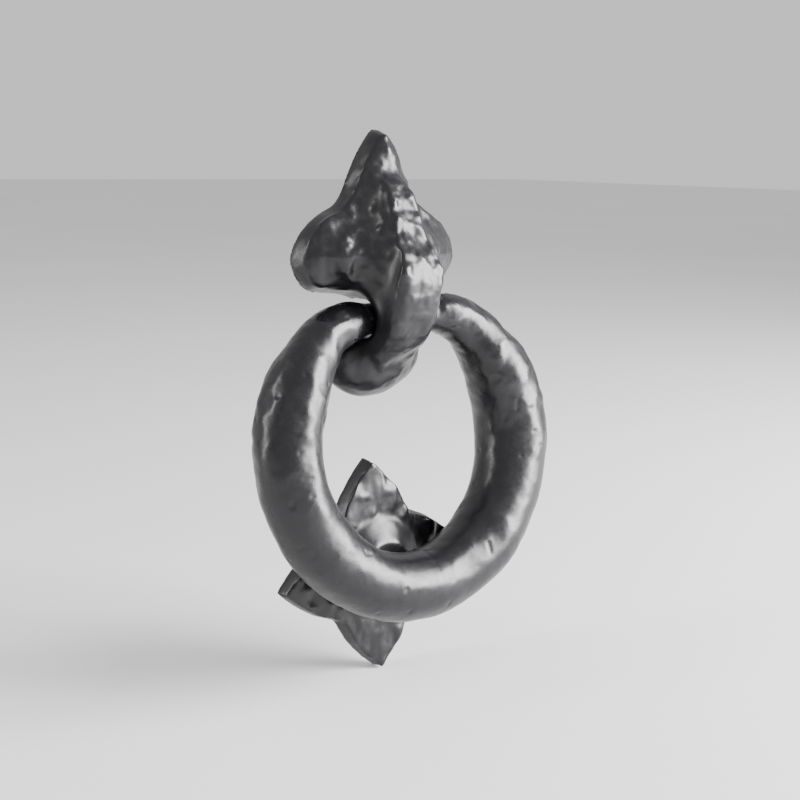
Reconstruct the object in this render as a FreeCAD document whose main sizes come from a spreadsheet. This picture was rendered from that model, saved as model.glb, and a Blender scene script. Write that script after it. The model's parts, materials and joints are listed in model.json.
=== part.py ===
"""Ring door knocker: cast back plate with its hook, heavy ring, strike plate and through-door fixings.

Frame: X to the right, +Y into the door, +Z up.  The outer face of the door is the plane Y = 0.  The origin is
the axis of the upper stud on that face.  Millimetres.
"""
import FreeCAD, Part
import math
import os

import Sketcher
from FreeCAD import Placement, Rotation, Vector

DIMENSIONS = {
    # fixings through the door
    "door_thick": 22,
    "fixing_spacing": 103,
    "stud_dia": 6,
    "stud_seat": 7,
    "stud_past_nut": 3,
    "stud_bevel": 0.7,
    "tapped_dia": 6.1,
    "tapped_deep": 8,
    "washer_dia": 18,
    "washer_hole_dia": 6.4,
    "washer_thick": 1.6,
    "nut_corners_dia": 11.55,
    "nut_thick": 5,
    "nut_hole_dia": 6.1,
    # right half of the back plate's outline, from the petal's tip down; the last three heights are downwards
    "plate_thick": 6,
    "plate_draft": 1.4,
    "tip_x": 2.1,
    "tip_z": 36.2,
    "tip_round": 2.3,
    "petal_x": 10.2,
    "petal_z": 22.6,
    "petal_round": 60,
    "notch_x": 14.8,
    "notch_z": 13.2,
    "lobe_upper_round": 18,
    "lobe_x": 31,
    "lobe_z": 0.5,
    "lobe_lower_round": 12,
    "corner_x": 26,
    "corner_z": 10.2,
    "heel_x": 8.4,
    "heel_z": 12.2,
    # domed front of the back plate: two half ellipsoids standing on the door face
    "lobe_dome_x": 29,
    "lobe_dome_y": 15.8,
    "lobe_dome_z": 12.4,
    "petal_dome_x": 9,
    "petal_dome_y": 11,
    "petal_dome_z": 19,
    "petal_dome_height": 15,
    # hook seen from the side: distances out from the door, and heights above (ridge to brow) or below it
    "ridge_z": 28.5,
    "spine_out": 16.5,
    "spine_z": 13,
    "spine_round": 22,
    "brow_out": 20,
    "brow_z": 4,
    "nose_out": 26.2,
    "nose_z": 6,
    "nose_round": 11,
    "chin_out": 22.4,
    "chin_z": 20,
    "chin_round": 30,
    "jaw_out": 12,
    "jaw_z": 33,
    "jaw_round": 22,
    "heel_round": 40,
    "hook_foot_z": 43.5,
    # hook seen from the front
    "ridge_half_width": 3.4,
    "spine_half_width": 6.6,
    "hook_half_width": 8.8,
    "nose_edge_round": 3,
    "foot_x": 18.4,
    "foot_y": 10.6,
    "foot_z": 12,
    "foot_height": 33.4,
    # slot through the hook that the ring hangs in, open to the door
    "eye_out": 8,
    "eye_z": 19.7,
    "eye_round": 5.8,
    # ring: a circle of tube with a thinner straight neck across its top
    "ring_radius": 46,
    "ring_neck_drop": 40.5,
    "ring_neck_round": 5,
    "ring_shoulder_round": 6.4,
    "ring_body_round": 10.9,
    "ring_side_bias": 0.5,
    "ring_slide": 4.6,
    "ring_rest_angle": 9.15,
    # strike plate
    "strike_thick": 5,
    "strike_draft": 1,
    "strike_turn": 4.5,
    "strike_tip": 36.8,
    "strike_shoulder_x": 11.4,
    "strike_shoulder_z": 23.8,
    "strike_edge_round": 60,
    "strike_notch": 15.6,
    "boss_base_round": 17,
    "boss_top_round": 9.5,
    "boss_out": 10.2,
    # cutting tools reach past every face by this
    "cut_reach": 60,
}

# the ring's sections, and the angles from its top where the neck ends and the shoulder and body are full
RING_SECTIONS = 60
NECK_END = 19
SHOULDER_FULL = 26
BODY_FULL = 75
CORNER_SHARPNESS = 24
PETALS = 4
HEXAGON = 6

DOC = FreeCAD.newDocument("door_knocker")
SHEET = DOC.addObject("Spreadsheet::Sheet", "Dims")


def fill_sheet():
    """One row per driving dimension: its name in column A and its value, under that alias, in column B."""
    for row, (name, value) in enumerate(DIMENSIONS.items(), start=1):
        SHEET.set(f"A{row}", name)
        SHEET.set(f"B{row}", str(value))
        SHEET.setAlias(f"B{row}", name)
    DOC.recompute()


def dim(name):
    return float(getattr(SHEET, name))


class Size:
    """A signed length that the sheet drives, from words such as "eye_z - eye_round"."""

    def __init__(self, words, sign):
        self.sign = sign
        self.expression = " ".join(word if word in "+-" else f"Dims.{word}" for word in words.split())
        self.value = 0.0
        step = 1
        for word in words.split():
            if word in "+-":
                step = 1 if word == "+" else -1
            else:
                self.value += sign * step * dim(word)


def plus(words):
    return Size(words, 1)


def minus(words):
    return Size(words, -1)


def new_body(label):
    body = DOC.addObject("PartDesign::Body", label)
    body.Label = label
    return body


def origin_item(body, role):
    return next(item for item in body.Origin.OriginFeatures if item.Role == role)


def add_sketch(body, name, role, out=None):
    """A sketch on one of the body's own origin planes, moved along the plane's normal by a sheet length.

    The XZ plane's normal is -Y, out of the door; its drawing is seen from the front of the knocker.
    """
    sketch = body.newObject("Sketcher::SketchObject", name)
    sketch.AttachmentSupport = (origin_item(body, role), [""])
    sketch.MapMode = "FlatFace"
    if out:
        sketch.setExpression("AttachmentOffset.Base.z", f"Dims.{out}")
    return sketch


def constrain(sketch, kind, *where, value, expression):
    """A driving constraint whose value is tied to the sheet."""
    index = sketch.addConstraint(Sketcher.Constraint(kind, *where, value))
    sketch.setExpression(f"Constraints[{index}]", expression)


def hold_point(sketch, edge, end, x, y):
    """Fix one end of an edge at (x, y) from the sketch's origin; None is a place on the axis."""
    for kind, axis, place in (("DistanceX", -2, x), ("DistanceY", -1, y)):
        if place is None:
            sketch.addConstraint(Sketcher.Constraint("PointOnObject", edge, end, axis))
            continue
        ends = (-1, 1, edge, end) if place.sign > 0 else (edge, end, -1, 1)
        constrain(sketch, kind, *ends, value=abs(place.value), expression=place.expression)


def arc_between(start, end, radius):
    """The shorter arc of a radius from start to end, bulging to the left of that way."""
    chord = end - start
    outward = Vector(-chord.y, chord.x, 0).normalize()
    rise = radius - math.sqrt(radius ** 2 - (chord.Length / 2) ** 2)
    return Part.Arc(start, (start + end) * 0.5 + outward * rise, end)


def draw_outline(sketch, corners):
    """A closed outline of corners (x, y, bend), the solid on the right of the way round.

    bend is None where the edge to the next corner is straight, or the cell of the radius that bows it out.
    """
    first_edge = sketch.GeometryCount
    count = len(corners)
    points = [Vector(x.value if x else 0, y.value if y else 0, 0) for x, y, _ in corners]
    ends = []
    for index, (_, _, bend) in enumerate(corners):
        start, end = points[index], points[(index + 1) % count]
        shape = arc_between(start, end, dim(bend)) if bend else Part.LineSegment(start, end)
        edge = sketch.addGeometry(shape, False)
        forwards = sketch.getPoint(edge, 1).distanceToPoint(start) < 1e-6
        ends.append((1, 2) if forwards else (2, 1))
    for index in range(count):
        following = (index + 1) % count
        meeting = (first_edge + index, ends[index][1], first_edge + following, ends[following][0])
        sketch.addConstraint(Sketcher.Constraint("Coincident", *meeting))
    for index, (x, y, bend) in enumerate(corners):
        hold_point(sketch, first_edge + index, ends[index][0], x, y)
        if bend:
            constrain(sketch, "Radius", first_edge + index, value=dim(bend), expression=f"Dims.{bend}")


def draw_circle(sketch, diameter, factor=1, x=None, y=None):
    """A circle of factor times a sheet length across, about the sketch's origin or about (x, y)."""
    centre = Vector(x.value if x else 0, y.value if y else 0, 0)
    across = factor * dim(diameter)
    edge = sketch.addGeometry(Part.Circle(centre, Vector(0, 0, 1), across / 2), False)
    if x or y:
        hold_point(sketch, edge, 3, x, y)
    else:
        sketch.addConstraint(Sketcher.Constraint("Coincident", edge, 3, -1, 1))
    constrain(sketch, "Diameter", edge, value=across, expression=f"{factor} * Dims.{diameter}")


def draw_hexagon(sketch, diameter):
    """A regular hexagon whose corners lie on a circle of a sheet diameter about the sketch's origin."""
    radius = dim(diameter) / 2
    angles = [math.tau * k / HEXAGON for k in range(HEXAGON)]
    points = [Vector(radius * math.cos(a), radius * math.sin(a), 0) for a in angles]
    for index in range(HEXAGON):
        sketch.addGeometry(Part.LineSegment(points[index], points[(index + 1) % HEXAGON]), False)
    rim = sketch.addGeometry(Part.Circle(Vector(0, 0, 0), Vector(0, 0, 1), radius), True)
    sketch.addConstraint(Sketcher.Constraint("Coincident", rim, 3, -1, 1))
    constrain(sketch, "Diameter", rim, value=2 * radius, expression=f"Dims.{diameter}")
    for index in range(HEXAGON):
        sketch.addConstraint(Sketcher.Constraint("Coincident", index, 2, (index + 1) % HEXAGON, 1))
        sketch.addConstraint(Sketcher.Constraint("PointOnObject", index, 1, rim))
    for index in range(1, HEXAGON):
        sketch.addConstraint(Sketcher.Constraint("Equal", 0, index))
    sketch.addConstraint(Sketcher.Constraint("PointOnObject", 0, 1, -1))


def add_feature(body, kind, name, lengths=None, **settings):
    """A PartDesign feature that must change the body's volume; lengths ties its properties to the sheet."""
    before = body.Shape.Volume if body.Tip else 0
    feature = body.newObject(f"PartDesign::{kind}", name)
    for key, value in settings.items():
        setattr(feature, key, value)
    for key, expression in (lengths or {}).items():
        feature.setExpression(key, expression)
    DOC.recompute()
    if feature.Shape.isNull() or abs(feature.Shape.Volume - before) < 0.5:
        raise RuntimeError(f"{name} changed nothing")
    body.Tip = feature
    return feature


def place_body(body, out=None, drop=None, turn=None):
    """Move a body into the door and down it, and turn it anticlockwise as seen from the front."""
    if out:
        body.setExpression("Placement.Base.y", out)
    if drop:
        body.setExpression("Placement.Base.z", f"-({drop})")
    if turn:
        body.Placement = Placement(body.Placement.Base, Rotation(Vector(0, -1, 0), dim(turn)))
        body.setExpression("Placement.Rotation.Angle", f"Dims.{turn}")
    DOC.recompute()


def plate_corners(inset=None):
    """Outline of the back plate: a pointed petal, two rounded lobes with flat undersides, and a heel between.

    inset is the cell by which the drafted front is smaller than the back.
    """
    less = f" - {inset}" if inset else ""
    right_half = [
        ("tip_x", plus("tip_z" + less), "petal_round"),
        ("petal_x" + less, plus("petal_z"), None),
        ("notch_x" + less, plus("notch_z"), "lobe_upper_round"),
        ("lobe_x" + less, minus("lobe_z"), "lobe_lower_round"),
        ("corner_x" + less, minus("corner_z" + less), None),
        ("heel_x", minus("heel_z" + less), None),
    ]
    bends_back = ["tip_round"] + [bend for _, _, bend in right_half[:-1]]
    corners = [(plus(x), z, bend) for x, z, bend in right_half]
    left_half = [(minus(x), z, bend) for (x, z, _), bend in zip(right_half, bends_back)]
    return corners + left_half[::-1]


def hook_profile():
    """The hook from the side: up the door face's line, then over the spine, the nose and the curled chin."""
    return [
        (None, minus("hook_foot_z"), "heel_round"),
        (minus("jaw_out"), minus("jaw_z"), "jaw_round"),
        (minus("chin_out"), minus("chin_z"), "chin_round"),
        (minus("nose_out"), minus("nose_z"), "nose_round"),
        (minus("brow_out"), plus("brow_z"), None),
        (minus("spine_out"), plus("spine_z"), "spine_round"),
        (None, plus("ridge_z"), None),
    ]


def taper_spine(body):
    """Narrow the hook above its nose to the width of the spine, and that to the ridge on the petal."""
    sides = add_sketch(body, "SpineSides", "XZ_Plane")
    for place in (plus, minus):
        draw_outline(sides, [
            (place("ridge_half_width"), plus("ridge_z"), None),
            (place("spine_half_width"), plus("brow_z"), None),
            (place("hook_half_width"), minus("nose_z"), None),
            (place("lobe_x"), minus("nose_z"), None),
            (place("lobe_x"), plus("ridge_z"), None),
        ])
    add_feature(body, "Pocket", "SpineTaper", {"Length": "2 * Dims.cut_reach"}, Profile=sides,
                SideType="Symmetric")


def is_nose_edge(edge):
    """True for the edges between the hook's front and its flanks, from the nose round to the jaw."""
    middle = edge.valueAt((edge.FirstParameter + edge.LastParameter) / 2)
    return abs(middle.x) > dim("spine_half_width") and -dim("jaw_z") < middle.z < -dim("nose_z") - 1 \
        and middle.y < -dim("jaw_out")


def round_nose(body):
    edges = enumerate(body.Tip.Shape.Edges, start=1)
    names = [f"Edge{number}" for number, edge in edges if is_nose_edge(edge)]
    add_feature(body, "Fillet", "NoseEdges", {"Radius": "Dims.nose_edge_round"}, Base=(body.Tip, names))


def add_dome(body, name, half_x, half_y, half_z, height=None):
    """An ellipsoid centred on the door face, at a height given as a sheet expression."""
    lengths = {"Radius1": f"Dims.{half_z}", "Radius2": f"Dims.{half_x}", "Radius3": f"Dims.{half_y}"}
    if height:
        lengths["Placement.Base.z"] = height
    add_feature(body, "AdditiveEllipsoid", name, lengths)


def tap_back(body):
    """The tapped hole that the stud screws into from the door side."""
    hole = add_sketch(body, "TappedHole", "XZ_Plane")
    draw_circle(hole, "tapped_dia")
    add_feature(body, "Pocket", "TappedPocket", {"Length": "Dims.tapped_deep"}, Profile=hole, Reversed=True)


def cut_eye(body):
    """The slot that the ring's neck hangs in: a round seat, open to the door along its whole height."""
    seat = add_sketch(body, "EyeSeat", "YZ_Plane")
    draw_circle(seat, "eye_round", 2, x=minus("eye_out"), y=minus("eye_z"))
    mouth = add_sketch(body, "EyeMouth", "YZ_Plane")
    draw_outline(mouth, [
        (minus("eye_out"), minus("eye_z - eye_round"), None),
        (plus("eye_out"), minus("eye_z - eye_round"), None),
        (plus("eye_out"), minus("eye_z + eye_round"), None),
        (minus("eye_out"), minus("eye_z + eye_round"), None),
    ])
    for name, profile in (("EyeSeatCut", seat), ("EyeMouthCut", mouth)):
        add_feature(body, "Pocket", name, {"Length": "2 * Dims.cut_reach"}, Profile=profile,
                    SideType="Symmetric")


def flatten_back(body):
    """Take away everything behind the door face."""
    face = add_sketch(body, "DoorFace", "XZ_Plane")
    draw_outline(face, [
        (minus("cut_reach"), plus("cut_reach"), None),
        (plus("cut_reach"), plus("cut_reach"), None),
        (plus("cut_reach"), minus("cut_reach"), None),
        (minus("cut_reach"), minus("cut_reach"), None),
    ])
    add_feature(body, "Pocket", "BackFace", {"Length": "Dims.cut_reach"}, Profile=face)


def backplate_with_hook():
    """One casting: the plate, a ridge that grows out of its petal into the hook, and the hook's wide foot."""
    body = new_body("backplate_hook")
    profile = add_sketch(body, "HookProfile", "YZ_Plane")
    draw_outline(profile, hook_profile())
    add_feature(body, "Pad", "HookPad", {"Length": "2 * Dims.hook_half_width"}, Profile=profile,
                SideType="Symmetric")
    taper_spine(body)
    round_nose(body)
    add_dome(body, "Foot", "foot_x", "foot_y", "foot_z", "-Dims.foot_height")
    back = add_sketch(body, "PlateBack", "XZ_Plane")
    draw_outline(back, plate_corners())
    front = add_sketch(body, "PlateFront", "XZ_Plane", out="plate_thick")
    draw_outline(front, plate_corners("plate_draft"))
    add_feature(body, "AdditiveLoft", "Plate", Profile=back, Sections=[front], Ruled=True)
    add_dome(body, "LobeDome", "lobe_dome_x", "lobe_dome_y", "lobe_dome_z")
    add_dome(body, "PetalDome", "petal_dome_x", "petal_dome_y", "petal_dome_z", "Dims.petal_dome_height")
    cut_eye(body)
    flatten_back(body)
    tap_back(body)


def petal_corners(inset=None):
    """One petal of the strike plate, from the plate's centre out to its square tip."""
    less = f" - {inset}" if inset else ""
    notch, tip = "strike_notch" + less, "strike_tip" + less
    shoulder_x, shoulder_z = "strike_shoulder_x" + less, "strike_shoulder_z"
    return [
        (None, None, None),
        (minus(notch), plus(notch), None),
        (minus(shoulder_x), plus(shoulder_z), "strike_edge_round"),
        (None, plus(tip), "strike_edge_round"),
        (plus(shoulder_x), plus(shoulder_z), None),
        (plus(notch), plus(notch), None),
    ]


def strike_plate():
    """One casting: four drafted petals round a conical boss, whose flat top the ring knocks on."""
    body = new_body("strike_plate")
    back = add_sketch(body, "PetalBack", "XZ_Plane")
    draw_outline(back, petal_corners())
    front = add_sketch(body, "PetalFront", "XZ_Plane", out="strike_thick")
    draw_outline(front, petal_corners("strike_draft"))
    petal = add_feature(body, "AdditiveLoft", "Petal", Profile=back, Sections=[front], Ruled=True)
    add_feature(body, "PolarPattern", "Petals", Originals=[petal], Axis=(origin_item(body, "Y_Axis"), [""]),
                Angle=360, Occurrences=PETALS)
    boss = add_sketch(body, "BossProfile", "XY_Plane")
    draw_outline(boss, [
        (None, None, None),
        (plus("boss_base_round"), None, None),
        (plus("boss_base_round"), minus("strike_thick"), None),
        (plus("boss_top_round"), minus("boss_out"), None),
        (None, minus("boss_out"), None),
    ])
    add_feature(body, "Revolution", "Boss", Profile=boss, ReferenceAxis=(boss, ["V_Axis"]), Angle=360)
    tap_back(body)
    place_body(body, drop="Dims.fixing_spacing", turn="strike_turn")


def ease(value, start, end):
    """0 before start, 1 after end, and a smooth rise between."""
    share = min(max((value - start) / (end - start), 0), 1)
    return share * share * (3 - 2 * share)


def ring_path(angle):
    """A point of the tube's centre line at an angle from the top: across, and up from the neck's axis."""
    radius = dim("ring_radius")
    if math.cos(angle) > 0:
        chord = dim("ring_neck_drop") / math.cos(angle)
        radius = (radius ** -CORNER_SHARPNESS + chord ** -CORNER_SHARPNESS) ** (-1 / CORNER_SHARPNESS)
    return radius * math.sin(angle), radius * math.cos(angle) - dim("ring_neck_drop")


def ring_section(index):
    """A circle across the tube: thin at the neck, a shoulder beside it, and a thick body for the rest.

    The first section, where the closed loft has its seam, is at the ring's foot.
    """
    turn = (180 + 360 * index / RING_SECTIONS) % 360
    from_top = min(turn, 360 - turn)
    angle = math.radians(turn)
    tilt = math.radians(dim("ring_rest_angle"))
    shoulder = ease(from_top, NECK_END, SHOULDER_FULL)
    full = ease(from_top, SHOULDER_FULL, BODY_FULL)
    across, up = ring_path(angle)
    nudge = 1e-4
    before, after = ring_path(angle - nudge), ring_path(angle + nudge)
    step = (after[0] - before[0], after[1] - before[1])
    along = Vector(step[0], step[1] * math.sin(tilt), step[1] * math.cos(tilt))

    circle = DOC.addObject("Part::Circle", f"RingSection{index:02d}")
    out, height = up * math.sin(tilt) - dim("eye_out"), up * math.cos(tilt) - dim("eye_z")
    centre = Vector(across + dim("ring_slide"), out, height)
    circle.Placement = Placement(centre, Rotation(Vector(0, 0, 1), along))
    circle.setExpression("Placement.Base.x", f"{across} + Dims.ring_slide")
    circle.setExpression("Placement.Base.y", f"{up} * sin(Dims.ring_rest_angle) - Dims.eye_out")
    circle.setExpression("Placement.Base.z", f"{up} * cos(Dims.ring_rest_angle) - Dims.eye_z")
    circle.setExpression("Radius", (
        f"Dims.ring_neck_round + {shoulder} * (Dims.ring_shoulder_round - Dims.ring_neck_round)"
        f" + {full} * (Dims.ring_body_round - Dims.ring_shoulder_round)"
        f" + {full * math.sin(angle)} * Dims.ring_side_bias"
    ))
    return circle


def knocker_ring():
    """The ring, slid to the right along its neck and leaning out until its foot rests on the strike plate."""
    sections = [ring_section(index) for index in range(RING_SECTIONS)]
    DOC.recompute()
    ring = DOC.addObject("Part::Loft", "knocker_ring")
    ring.Label = "knocker_ring"
    ring.Sections = sections
    ring.Solid, ring.Closed, ring.Ruled = True, True, False
    DOC.recompute()


def stud(label, drop):
    """A threaded rod from the tapped hole, through the door, to just past the nut."""
    body = new_body(label)
    section = add_sketch(body, "Section", "XZ_Plane")
    draw_circle(section, "stud_dia")
    length = "Dims.stud_seat + Dims.door_thick + Dims.washer_thick + Dims.nut_thick + Dims.stud_past_nut"
    rod = add_feature(body, "Pad", "Rod", {"Length": length}, Profile=section, Reversed=True)
    rims = [f"Edge{n}" for n, edge in enumerate(rod.Shape.Edges, start=1) if edge.Closed]
    add_feature(body, "Chamfer", "Bevels", {"Size": "Dims.stud_bevel"}, Base=(rod, rims))
    place_body(body, out="-Dims.stud_seat", drop=drop)


def washer(label, drop):
    body = new_body(label)
    section = add_sketch(body, "Section", "XZ_Plane")
    draw_circle(section, "washer_dia")
    draw_circle(section, "washer_hole_dia")
    add_feature(body, "Pad", "Disc", {"Length": "Dims.washer_thick"}, Profile=section, Reversed=True)
    place_body(body, out="Dims.door_thick", drop=drop)


def nut(label, drop):
    body = new_body(label)
    section = add_sketch(body, "Section", "XZ_Plane")
    draw_hexagon(section, "nut_corners_dia")
    draw_circle(section, "nut_hole_dia")
    add_feature(body, "Pad", "Hexagon", {"Length": "Dims.nut_thick"}, Profile=section, Reversed=True)
    place_body(body, out="Dims.door_thick + Dims.washer_thick", drop=drop)


def build():
    fill_sheet()
    backplate_with_hook()
    knocker_ring()
    strike_plate()
    for end, drop in (("upper", None), ("lower", "Dims.fixing_spacing")):
        stud(f"{end}_stud", drop)
        washer(f"{end}_washer", drop)
        nut(f"{end}_nut", drop)
    DOC.recompute()


def is_piece(thing):
    return thing.TypeId in ("PartDesign::Body", "Part::Loft")


def check_and_write():
    """Stop on any failed object or bad solid, then write one STEP file per piece."""
    for thing in DOC.Objects:
        if {"Invalid", "Error"} & set(thing.State):
            raise RuntimeError(f"{thing.Label} failed: {thing.State}")
    pieces = [thing for thing in DOC.Objects if is_piece(thing)]
    for piece in pieces:
        shape = piece.Shape
        if shape.isNull() or not shape.isValid() or len(shape.Solids) != 1:
            raise RuntimeError(f"{piece.Label} is not one good solid")
        print(f"{piece.Label}: {shape.Volume / 1000:.2f} cm3")
    os.makedirs("parts", exist_ok=True)
    for piece in pieces:
        piece.Shape.exportStep(f"parts/{piece.Label}.step")


build()
check_and_write()
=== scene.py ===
"""Looks of the ring door knocker: hammered black castings and zinc-plated fixings, in metres.

Each casting is the CAD solid remeshed finely, worn smooth along its edges and hammered in its geometry.
The door face is the plane Y = 0, where the castings stay flat.
"""
import json
import math

import bmesh
import bpy
import numpy as np
from mathutils import Matrix, Vector


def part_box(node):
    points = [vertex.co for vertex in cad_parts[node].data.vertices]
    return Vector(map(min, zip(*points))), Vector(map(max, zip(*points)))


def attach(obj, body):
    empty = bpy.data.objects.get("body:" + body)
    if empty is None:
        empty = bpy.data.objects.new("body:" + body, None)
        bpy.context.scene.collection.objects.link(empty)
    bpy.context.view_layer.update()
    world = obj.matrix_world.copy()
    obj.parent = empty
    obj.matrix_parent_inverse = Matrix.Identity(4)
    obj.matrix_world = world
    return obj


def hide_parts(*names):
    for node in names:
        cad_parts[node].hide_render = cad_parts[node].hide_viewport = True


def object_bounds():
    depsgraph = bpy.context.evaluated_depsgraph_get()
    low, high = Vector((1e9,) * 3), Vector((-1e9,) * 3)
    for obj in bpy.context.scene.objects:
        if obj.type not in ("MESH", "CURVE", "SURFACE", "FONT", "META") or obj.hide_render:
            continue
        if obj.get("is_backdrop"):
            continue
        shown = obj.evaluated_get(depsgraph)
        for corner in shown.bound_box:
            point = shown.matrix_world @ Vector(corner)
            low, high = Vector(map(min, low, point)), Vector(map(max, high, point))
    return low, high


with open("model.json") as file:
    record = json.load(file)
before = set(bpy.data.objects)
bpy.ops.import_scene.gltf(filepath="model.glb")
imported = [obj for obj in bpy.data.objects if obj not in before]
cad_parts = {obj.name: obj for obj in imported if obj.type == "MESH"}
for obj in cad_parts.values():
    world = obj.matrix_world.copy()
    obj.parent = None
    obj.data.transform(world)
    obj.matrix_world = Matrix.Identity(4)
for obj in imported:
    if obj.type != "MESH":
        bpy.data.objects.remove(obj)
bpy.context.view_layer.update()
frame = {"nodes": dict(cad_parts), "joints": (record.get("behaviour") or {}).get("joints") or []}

MM = 0.001
SWING = frame["joints"][0]
EYE = np.array(SWING["pos_m"])
STUD_HOLE = 3.05 * MM
FIXING_SPACING = 103 * MM
UPPER_STUD = np.array([0.0, 0.0, 0.0])
LOWER_STUD = np.array([0.0, 0.0, -FIXING_SPACING])
INTO_DOOR = (0, 1, 0)
ALONG_NECK = (1, 0, 0)

# remeshing and wearing down
PLATE_VOXEL = 0.45 * MM
RING_VOXEL = 0.55 * MM
RELAX_SHARE = 0.6
VALLEY_STEPS = 4
HOLLOW_DEPTH = 0.02 * MM
HOLLOW_BLURS = 4

# studio
ROOM_GLOW = 0.8
FLOOR_REACH = 6.0
KEY_PLACE = (0.62, -0.62, 0.16)
KEY_WATTS = 49
RIM_PLACE = (-0.7, 0.25, 0.2)
RIM_WATTS = 4
LIT_POINT = (0, -0.015, -0.05)
CAMERA_PLACE = (-0.2521, -0.3157, 0.0314)
CAMERA_TARGET = (0.0129, 0, -0.0493)
CAMERA_LENS = 57.0
CAMERA_ROLL = math.radians(1)


# ---- noise and masks -----------------------------------------------------------------------------

def smoothstep(value, start, end):
    share = np.clip((value - start) / (end - start), 0.0, 1.0)
    return share * share * (3 - 2 * share)


def hashed(cells, seed):
    """Repeatable numbers from 0 to 1, one for each row of whole numbers."""
    x, y, z = (cells[:, axis].astype(np.int64) for axis in range(3))
    mixed = (x * 73856093) ^ (y * 19349663) ^ (z * 83492791) ^ (seed * 2654435761)
    mixed = (mixed ^ (mixed >> 13)) * 1274126177
    mixed = mixed ^ (mixed >> 16)
    return (mixed & 0xFFFFFF) / float(0xFFFFFF)


def lumps(points, size, seed):
    """Smooth noise from -1 to 1 whose features are about size across."""
    scaled = points / size
    base = np.floor(scaled).astype(np.int64)
    local = scaled - base
    local = local * local * local * (local * (local * 6 - 15) + 10)
    total = np.zeros(len(points))
    for corner in np.ndindex(2, 2, 2):
        offset = np.array(corner)
        weight = np.prod(np.where(offset == 1, local, 1 - local), axis=1)
        total += weight * hashed(base + offset, seed)
    return 2 * total - 1


def dents(points, size, seed):
    """Hammer marks: 0 at the middle of each, rising to about 1 at the ridges where they meet."""
    scaled = points / size
    base = np.floor(scaled).astype(np.int64)
    nearest = np.full(len(points), 9.0)
    second = np.full(len(points), 9.0)
    for corner in np.ndindex(3, 3, 3):
        cell = base + np.array(corner) - 1
        centre = cell + np.stack([hashed(cell, seed + axis) for axis in range(3)], axis=1)
        distance = np.linalg.norm(scaled - centre, axis=1)
        closer = distance < nearest
        second = np.where(closer, nearest, np.minimum(second, distance))
        nearest = np.where(closer, distance, nearest)
    return 1 - smoothstep(second - nearest, 0.0, 0.75)


def mound(points, centre, radius):
    """1 at a centre (in mm) and falling smoothly to nothing at about twice the radius."""
    away = np.linalg.norm(points - np.array(centre) * MM, axis=1) / (radius * MM)
    return np.exp(-away ** 2)


def from_axis(points, through, direction):
    """Distance of each point from a line."""
    direction = np.array(direction, dtype=float)
    offset = points - through
    return np.linalg.norm(offset - np.outer(offset @ direction, direction), axis=1)


# ---- mesh tools ----------------------------------------------------------------------------------

def new_piece(name, mesh, body, slot, material, *nodes):
    piece = bpy.data.objects.new(name, mesh)
    bpy.context.scene.collection.objects.link(piece)
    mesh.materials.clear()
    mesh.materials.append(material)
    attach(piece, body)
    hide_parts(*nodes)
    return piece


def remeshed(mesh, voxel):
    """The same solid made of even small faces."""
    source = bpy.data.objects.new("remesh_source", mesh)
    bpy.context.scene.collection.objects.link(source)
    remesh = source.modifiers.new("Remesh", "REMESH")
    remesh.mode = "VOXEL"
    remesh.voxel_size = voxel
    shown = source.evaluated_get(bpy.context.evaluated_depsgraph_get())
    fine = bpy.data.meshes.new_from_object(shown)
    bpy.data.objects.remove(source)
    return fine


def read_points(mesh):
    flat = np.empty(len(mesh.vertices) * 3)
    mesh.vertices.foreach_get("co", flat)
    return flat.reshape(-1, 3)


def write_points(mesh, points):
    mesh.vertices.foreach_set("co", points.ravel())
    mesh.update()


def read_normals(mesh):
    flat = np.empty(len(mesh.vertices) * 3)
    mesh.vertices.foreach_get("normal", flat)
    return flat.reshape(-1, 3)


def neighbour_mean(mesh, values):
    """The average of each vertex's neighbours."""
    ends = np.empty(len(mesh.edges) * 2, dtype=np.int32)
    mesh.edges.foreach_get("vertices", ends)
    first, second = ends[0::2], ends[1::2]
    count = np.bincount(ends, minlength=len(values)).clip(1)
    columns = []
    for column in values.T:
        forwards = np.bincount(first, column[second], len(values))
        backwards = np.bincount(second, column[first], len(values))
        columns.append((forwards + backwards) / count)
    return np.stack(columns, axis=1)


def relax(mesh, rounds, weight):
    """Round the edges off by moving each vertex towards its neighbours, by a weight for each axis."""
    points = read_points(mesh)
    for _ in range(rounds):
        points = points + RELAX_SHARE * weight * (neighbour_mean(mesh, points) - points)
    write_points(mesh, points)


def push_out(mesh, distance, weight):
    """Move each vertex along its normal, by a weight for each axis."""
    distance = np.broadcast_to(distance, len(mesh.vertices))
    write_points(mesh, read_points(mesh) + read_normals(mesh) * distance[:, None] * weight)


def store(mesh, name, values):
    mesh.attributes.new(name, "FLOAT", "POINT").data.foreach_set("value", values.astype(np.float32))


def fill_valleys(mesh, voxel, reach, keep, freedom):
    """Round the inside corners: grow the solid by a reach, join what meets, and shrink it all but keep."""
    for way in (reach, keep - reach):
        for _ in range(VALLEY_STEPS):
            push_out(mesh, way / VALLEY_STEPS, freedom(read_points(mesh)))
        relax(mesh, 2, freedom(read_points(mesh)))
        if way > 0:
            mesh = remeshed(mesh, voxel)
    return mesh


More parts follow.
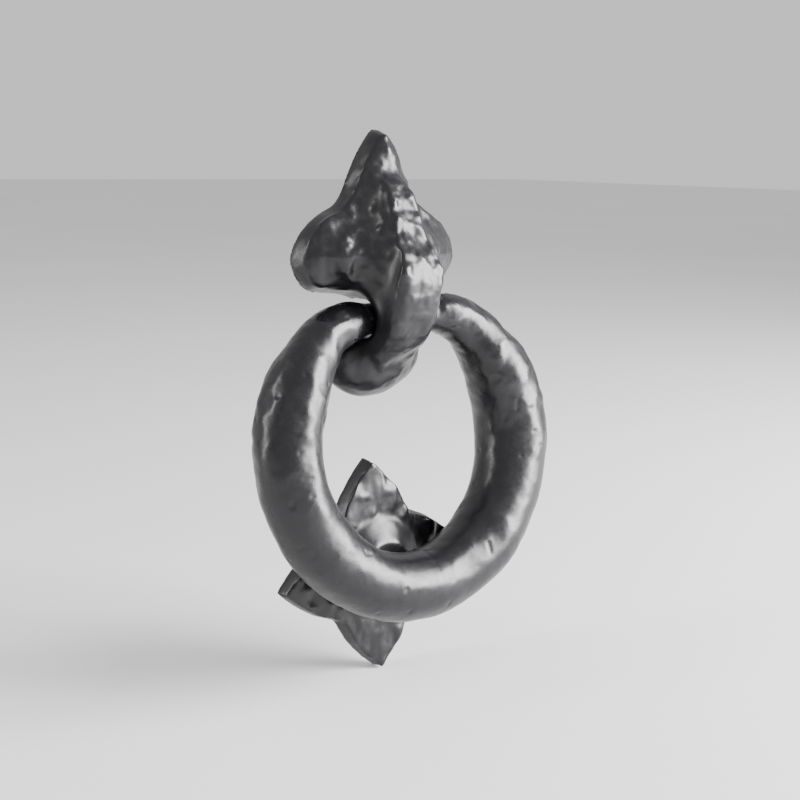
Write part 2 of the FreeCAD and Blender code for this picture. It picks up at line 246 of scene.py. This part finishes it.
def casting(node, body, voxel, rounds, valleys, keep, freedom, hammer):
    """Remesh, wear and hammer one CAD casting, and store how hollow its surface is for the paint.

    freedom(points) says where it may change, and hammer(points, normals) how far it moves outwards.
    """
    mesh = remeshed(frame["nodes"][node].data.copy(), voxel)
    if valleys:
        mesh = fill_valleys(mesh, voxel, valleys, keep, freedom)
    relax(mesh, rounds, freedom(read_points(mesh)))
    points = read_points(mesh)
    push_out(mesh, hammer(points, read_normals(mesh)), freedom(points))
    relax(mesh, 1, freedom(points))
    points = read_points(mesh)
    hollow = np.einsum("ij,ij->i", neighbour_mean(mesh, points) - points, read_normals(mesh))
    for _ in range(HOLLOW_BLURS):
        hollow = neighbour_mean(mesh, hollow[:, None])[:, 0]
    store(mesh, "hollow", np.clip(hollow / HOLLOW_DEPTH, -1, 1))
    mesh.shade_smooth()
    return new_piece(f"{node}_cast", mesh, body, "black_iron", BLACK_PAINT, node)


def on_the_door(points, free):
    """Freedom for each axis: the flat back slides in its own plane only, and the stud holes stay."""
    upper_hole = from_axis(points, UPPER_STUD, INTO_DOOR)
    lower_hole = from_axis(points, LOWER_STUD, INTO_DOOR)
    hole = np.minimum(upper_hole, lower_hole)
    near_hole = 1 - smoothstep(hole, STUD_HOLE + 0.3 * MM, STUD_HOLE + 1.5 * MM)
    free = free * (1 - near_hole * (points[:, 1] > -9 * MM))
    away = smoothstep(-points[:, 1], 0.1 * MM, 0.9 * MM)
    return np.stack([free, free * away, free], axis=1)


# ---- materials -----------------------------------------------------------------------------------

def node_material(name):
    """A new material, with short ways to add nodes and links."""
    material = bpy.data.materials.new(name)
    material.use_nodes = True
    tree = material.node_tree
    shader = tree.nodes["Principled BSDF"]

    def add(kind, inputs=(), **settings):
        made = tree.nodes.new(f"ShaderNode{kind}")
        for key, value in settings.items():
            setattr(made, key, value)
        for socket, value in dict(inputs).items():
            if isinstance(value, bpy.types.NodeSocket):
                tree.links.new(value, made.inputs[socket])
            else:
                made.inputs[socket].default_value = value
        return made

    return material, tree, shader, add


def ramp(add, value, *stops):
    made = add("ValToRGB", {0: value})
    elements = made.color_ramp.elements
    while len(elements) < len(stops):
        elements.new(0.5)
    for element, (place, colour) in zip(elements, stops):
        element.position = place
        element.color = (*colour, 1)
    return made.outputs["Color"]


def black_paint():
    """Satin black powder coat: faint mottling, dusty hollows, polished high spots and orange peel."""
    material, tree, shader, add = node_material("black_powder_coat")
    place = add("TexCoord").outputs["Object"]
    hollow = add("Attribute", attribute_name="hollow").outputs["Fac"]
    broad = add("TexNoise", {"Vector": place, "Scale": 90, "Detail": 5, "Roughness": 0.6}).outputs["Fac"]
    fine = add("TexNoise", {"Vector": place, "Scale": 900, "Detail": 6, "Roughness": 0.62}).outputs["Fac"]
    grain = add("TexNoise", {"Vector": place, "Scale": 3200, "Detail": 3, "Roughness": 0.6}).outputs["Fac"]
    pits = add("TexVoronoi", {"Vector": place, "Scale": 420, "Randomness": 1}).outputs["Distance"]

    mottle = add("Math", {0: broad, 1: fine}, operation="MULTIPLY").outputs[0]
    colour = ramp(add, mottle, (0.1, (0.0042, 0.004, 0.0054)), (0.3, (0.006, 0.0058, 0.0077)),
                  (0.5, (0.009, 0.0087, 0.0115)))
    dust = add("MapRange", {"Value": hollow, "From Min": 0.1, "From Max": 0.9, "To Min": 0, "To Max": 0.5})
    dusty = add("Mix", {0: dust.outputs[0], 6: colour, 7: (0.024, 0.0235, 0.0245, 1)}, data_type="RGBA")
    tree.links.new(dusty.outputs[2], shader.inputs["Base Color"])

    sheen = add("MapRange", {"Value": fine, "From Min": 0.25, "From Max": 0.75,
                             "To Min": 0.27, "To Max": 0.39})
    worn = add("MapRange", {"Value": hollow, "From Min": -0.8, "From Max": 0.8,
                            "To Min": -0.06, "To Max": 0.08})
    rough = add("Math", {0: sheen.outputs[0], 1: worn.outputs[0]}, operation="ADD", use_clamp=True)
    tree.links.new(rough.outputs[0], shader.inputs["Roughness"])
    shader.inputs["Specular IOR Level"].default_value = 0.45

    peel = add("Bump", {"Height": fine, "Strength": 0.25, "Distance": 0.00012})
    grained = add("Bump", {"Height": grain, "Strength": 0.2, "Distance": 0.00004, "Normal": peel.outputs[0]})
    pinhole = add("MapRange", {"Value": pits, "From Min": 0.0, "From Max": 0.12})
    pitted = add("Bump", {"Height": pinhole.outputs[0], "Strength": 0.18, "Distance": 0.0001,
                          "Normal": grained.outputs[0]})
    tree.links.new(pitted.outputs[0], shader.inputs["Normal"])
    return material


def zinc_plate():
    """Dull bright-zinc plating: cloudy grey-blue spangle, fine rolling marks and a few brighter rubs."""
    material, tree, shader, add = node_material("zinc_plate")
    place = add("TexCoord").outputs["Object"]
    cloud = add("TexNoise", {"Vector": place, "Scale": 260, "Detail": 5, "Roughness": 0.65}).outputs["Fac"]
    grain = add("TexNoise", {"Vector": place, "Scale": 2400, "Detail": 4}).outputs["Fac"]
    stretch = add("Mapping", {"Vector": place, "Scale": (400, 4000, 400)})
    marks = add("TexNoise", {"Vector": stretch.outputs[0], "Scale": 1, "Detail": 3}).outputs["Fac"]
    colour = ramp(add, cloud, (0.3, (0.42, 0.43, 0.43)), (0.5, (0.60, 0.61, 0.60)),
                  (0.7, (0.72, 0.71, 0.66)))
    tree.links.new(colour, shader.inputs["Base Color"])
    shader.inputs["Metallic"].default_value = 1
    rough = add("MapRange", {"Value": cloud, "From Min": 0.3, "From Max": 0.7,
                             "To Min": 0.26, "To Max": 0.44})
    tree.links.new(rough.outputs[0], shader.inputs["Roughness"])
    both = add("Math", {0: grain, 1: marks}, operation="ADD")
    bump = add("Bump", {"Height": both.outputs[0], "Strength": 0.3, "Distance": 0.00002})
    tree.links.new(bump.outputs[0], shader.inputs["Normal"])
    return material


BLACK_PAINT = black_paint()
ZINC = zinc_plate()


# ---- castings ------------------------------------------------------------------------------------
# Heights are in mm. Each lumps or dents call is given the size of its features and a seed of its own.

def backplate_freedom(points):
    """The slot's walls keep their running clearance round the ring's neck."""
    slot = from_axis(points, EYE, ALONG_NECK)
    behind = (points[:, 1] > EYE[1]) & (np.abs(points[:, 2] - EYE[2]) < 6.6 * MM)
    slot_wall = np.where(behind, 1.0, 1 - smoothstep(slot, 6.2 * MM, 7.6 * MM))
    in_hook = 1 - smoothstep(np.abs(points[:, 0]), 9.2 * MM, 11 * MM)
    return on_the_door(points, 1 - slot_wall * in_hook)


def backplate_hammer(points, normals):
    """Heavy hammering where the petal, lobes and hook meet, and nearly smooth drafted sides."""
    front = smoothstep(-normals[:, 1], 0.1, 0.55)
    middle = mound(points, (-6, -12, 8), 24)
    height = 0.35 * lumps(points, 15 * MM, 3) + 0.28 * lumps(points, 7 * MM, 5) * front
    height += 0.55 * (dents(points, 8 * MM, 11) - 0.4) * front * (0.3 + middle)
    fine = 0.42 * lumps(points, 3.8 * MM, 17) + 0.18 * lumps(points, 2 * MM, 19)
    height += fine * front * (0.4 + middle)
    near_middle = 1 - smoothstep(np.abs(points[:, 0]), 6 * MM, 11 * MM)
    spine = near_middle * smoothstep(-points[:, 1], 9 * MM, 14 * MM)
    height += 0.50 * lumps(points, 6 * MM, 67) * spine
    # a nodule and a hollow on the petal, then the nose and the foot worn back on the right
    height += 1.3 * mound(points, (0, -8, 32), 2.8) - 1.0 * mound(points, (-1, -9, 25.5), 4.4)
    height -= 1.1 * mound(points, (9, -22, -4), 8) + 1.3 * mound(points, (10, -8, -40), 9)
    # room for the ring's left shoulder
    height -= 1.0 * mound(points, (-10, -6, -24.5), 4)
    return height * MM


def ring_freedom(points):
    """The neck stays true where it turns in the hook."""
    in_hook = 1 - smoothstep(np.abs(points[:, 0]), 9 * MM, 12 * MM)
    in_hook = in_hook * (points[:, 2] > -45 * MM)
    return np.repeat((1 - in_hook)[:, None], 3, axis=1)


def ring_hammer(points, normals):
    """Broad uneven swells, fuller on the right, with ripples that gather towards the shoulders."""
    shoulder = smoothstep(points[:, 2], -72 * MM, -36 * MM)
    height = 0.20 + 0.60 * smoothstep(points[:, 0], -5 * MM, 45 * MM)
    height += 0.45 * lumps(points, 20 * MM, 23) + 0.30 * lumps(points, 9 * MM, 29)
    height += 0.40 * (dents(points, 10 * MM, 31) - 0.4) * (0.3 + shoulder)
    fine = 0.24 * lumps(points, 4.2 * MM, 37) + 0.08 * lumps(points, 2.2 * MM, 39)
    height += fine * (0.5 + 0.7 * shoulder)
    # the tube sits about half a millimetre to the left, and has a few shallow pits
    height -= 0.55 * normals[:, 0]
    height -= 0.20 * smoothstep(lumps(points, 2.6 * MM, 41), 0.72, 0.88)
    return height * MM


def strike_hammer(points, normals):
    """Ridged petal fronts round a smooth conical boss."""
    front = smoothstep(-normals[:, 1], 0.3, 0.8)
    petal = smoothstep(from_axis(points, LOWER_STUD, INTO_DOOR), 15 * MM, 19 * MM)
    height = 0.25 + 0.20 * lumps(points, 14 * MM, 43) + (1 - petal) * 0.18 * lumps(points, 5 * MM, 61)
    ridges = 0.60 * lumps(points * (1.6, 1, 0.8), 8 * MM, 47) + 0.55 * (dents(points, 8 * MM, 53) - 0.4)
    height += front * petal * (ridges + 0.36 * lumps(points * (1.5, 1, 0.8), 3.6 * MM, 59))
    return height * MM


def strike_freedom(points):
    """Only the flat back and the stud hole are held."""
    return on_the_door(points, 1)


def castings():
    casting("backplate_hook", "mounted", PLATE_VOXEL, rounds=110, valleys=4.5 * MM, keep=0.6 * MM,
            freedom=backplate_freedom, hammer=backplate_hammer)
    casting("knocker_ring", "ring", RING_VOXEL, rounds=4, valleys=0, keep=0,
            freedom=ring_freedom, hammer=ring_hammer)
    casting("strike_plate", "mounted", PLATE_VOXEL, rounds=3, valleys=1.2 * MM, keep=0,
            freedom=strike_freedom, hammer=strike_hammer)


# ---- fixings -------------------------------------------------------------------------------------

def ring_mesh(name, loops, closed):
    """A mesh of faces from each loop of points to the next, and from the last to the first if closed."""
    count = len(loops[0])
    points = [point for loop in loops for point in loop]
    faces = []
    followers = list(range(1, len(loops))) + ([0] if closed else [])
    pairs = zip(range(len(loops)), followers)
    for low, high in pairs:
        for step in range(count):
            following = (step + 1) % count
            faces.append((low * count + step, low * count + following, high * count + following,
                          high * count + step))
    if not closed:
        faces.append(tuple(reversed(range(count))))
        faces.append(tuple(range((len(loops) - 1) * count, len(loops) * count)))
    mesh = bpy.data.meshes.new(name)
    mesh.from_pydata(points, [], faces)
    working = bmesh.new()
    working.from_mesh(mesh)
    bmesh.ops.recalc_face_normals(working, faces=working.faces)
    working.to_mesh(mesh)
    working.free()
    mesh.shade_smooth()
    mesh.set_sharp_from_angle(angle=math.radians(32))
    return mesh


def about(centre, radius, angle, along):
    """A point round an axis that runs into the door."""
    return (centre[0] + radius * math.cos(angle), along, centre[2] + radius * math.sin(angle))


def stud_mesh(node):
    """A rod with a real rolled thread of 1 mm pitch, bevelled at both ends."""
    low, high = (np.array(corner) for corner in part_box(node))
    centre, radius = (low + high) / 2, (high[0] - low[0]) / 2
    pitch, depth, sides, steps = 1.0 * MM, 0.58 * MM, 40, 10
    bevel = 0.9 * MM
    rows = int((high[1] - low[1]) / pitch * steps)
    loops = []
    for row in range(rows + 1):
        along = low[1] + (high[1] - low[1]) * row / rows
        to_end = min(along - low[1], high[1] - along)
        limit = radius - max(bevel - to_end, 0.0)
        loop = []
        for side in range(sides):
            angle = math.tau * side / sides
            phase = (along / pitch - side / sides) % 1.0
            groove = min(max(abs(phase - 0.5) * 2.4 - 0.2, 0.0), 1.0)
            loop.append(about(centre, min(radius - depth * (1 - groove), limit), angle, along))
        loops.append(loop)
    return ring_mesh(node, loops, False)


def washer_mesh(node):
    """A punched disc with softly rolled rims."""
    low, high = (np.array(corner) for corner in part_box(node))
    centre, outer = (low + high) / 2, (high[0] - low[0]) / 2
    inner, sides, soft = 3.2 * MM, 72, 0.22 * MM
    profile = []
    corners = ((outer, high[1], 0), (outer, low[1], 1), (inner, low[1], 2), (inner, high[1], 3))
    for radius, along, turn in corners:
        inwards = -1 if turn < 2 else 1
        down = -1 if turn in (0, 3) else 1
        for step in range(5):
            share = step / 4 * math.pi / 2
            if turn in (1, 3):
                share = math.pi / 2 - share
            profile.append((radius + inwards * soft * (1 - math.sin(share)),
                            along + down * soft * (1 - math.cos(share))))
    loops = [[about(centre, radius, math.tau * side / sides, along) for side in range(sides)]
             for radius, along in profile]
    return ring_mesh(node, loops, True)


def nut_mesh(node):
    """A hexagon nut whose corners are turned off to a cone on both faces, with a countersunk bore."""
    low, high = (np.array(corner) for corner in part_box(node))
    centre = (low + high) / 2
    flat = (high[2] - low[2]) / 2
    bore, sink, sides = 3.05 * MM, 0.45 * MM, 96
    turned, slope = flat * 0.96, math.tan(math.radians(30))
    loops = []

    def loop(radius_at, along_at):
        made = []
        for side in range(sides):
            angle = math.tau * side / sides
            sector = (angle % (math.pi / 3)) - math.pi / 6
            rim = flat / math.cos(sector)
            made.append(about(centre, radius_at(rim), angle, along_at(rim)))
        loops.append(made)

    loop(lambda rim: bore + sink, lambda rim: high[1])
    loop(lambda rim: turned, lambda rim: high[1])
    loop(lambda rim: rim, lambda rim: high[1] - (rim - turned) * slope)
    loop(lambda rim: rim, lambda rim: low[1] + (rim - turned) * slope)
    loop(lambda rim: turned, lambda rim: low[1])
    loop(lambda rim: bore + sink, lambda rim: low[1])
    loop(lambda rim: bore, lambda rim: low[1] + sink)
    loop(lambda rim: bore, lambda rim: high[1] - sink)
    return ring_mesh(node, loops, True)


def fixings():
    makers = {"stud": stud_mesh, "washer": washer_mesh, "nut": nut_mesh}
    for end in ("upper", "lower"):
        for kind, maker in makers.items():
            node = f"{end}_{kind}"
            new_piece(f"{node}_zinc", maker(node), "mounted", "zinc_steel", ZINC, node)


# ---- studio --------------------------------------------------------------------------------------

def aim(thing, place, target, roll=0.0):
    thing.location = place
    turn = (Vector(target) - Vector(place)).to_track_quat("-Z", "Y")
    thing.rotation_euler = (turn.to_matrix() @ Matrix.Rotation(roll, 3, "Z")).to_euler()


def soft_light(name, place, target, width, height, power):
    light = bpy.data.lights.new(name, "AREA")
    light.shape = "RECTANGLE"
    light.size, light.size_y, light.energy = width, height, power
    holder = bpy.data.objects.new(name, light)
    bpy.context.scene.collection.objects.link(holder)
    aim(holder, place, target)


def pale_floor():
    """A plain pale floor under the lowest petal."""
    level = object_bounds()[0][2]
    mesh = bpy.data.meshes.new("floor")
    signs = ((-1, -1), (1, -1), (1, 1), (-1, 1))
    corners = [(x * FLOOR_REACH, y * FLOOR_REACH, level) for x, y in signs]
    mesh.from_pydata(corners, [], [(0, 1, 2, 3)])
    floor = bpy.data.objects.new("floor", mesh)
    bpy.context.scene.collection.objects.link(floor)
    material, tree, shader, add = node_material("floor_paper")
    place = add("TexCoord").outputs["Object"]
    mottle = add("TexNoise", {"Vector": place, "Scale": 3, "Detail": 3}).outputs["Fac"]
    tree.links.new(ramp(add, mottle, (0.3, (0.76, 0.76, 0.76)), (0.7, (0.79, 0.79, 0.79))),
                   shader.inputs["Base Color"])
    shader.inputs["Roughness"].default_value = 0.9
    mesh.materials.append(material)
    floor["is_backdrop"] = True


def studio():
    pale_floor()
    world = bpy.data.worlds.new("studio")
    bpy.context.scene.world = world
    world.use_nodes = True
    backdrop = world.node_tree.nodes["Background"]
    backdrop.inputs["Color"].default_value = (1, 1, 1, 1)
    backdrop.inputs["Strength"].default_value = ROOM_GLOW
    soft_light("key", KEY_PLACE, LIT_POINT, 0.5, 0.7, KEY_WATTS)
    soft_light("rim", RIM_PLACE, LIT_POINT, 0.15, 0.7, RIM_WATTS)

    camera = bpy.data.objects.new("camera", bpy.data.cameras.new("camera"))
    camera.data.lens = CAMERA_LENS
    camera.data.sensor_width = 36.0
    camera.data.clip_start = 0.01
    bpy.context.scene.collection.objects.link(camera)
    aim(camera, CAMERA_PLACE, CAMERA_TARGET, CAMERA_ROLL)
    bpy.context.scene.camera = camera


castings()
fixings()
studio()
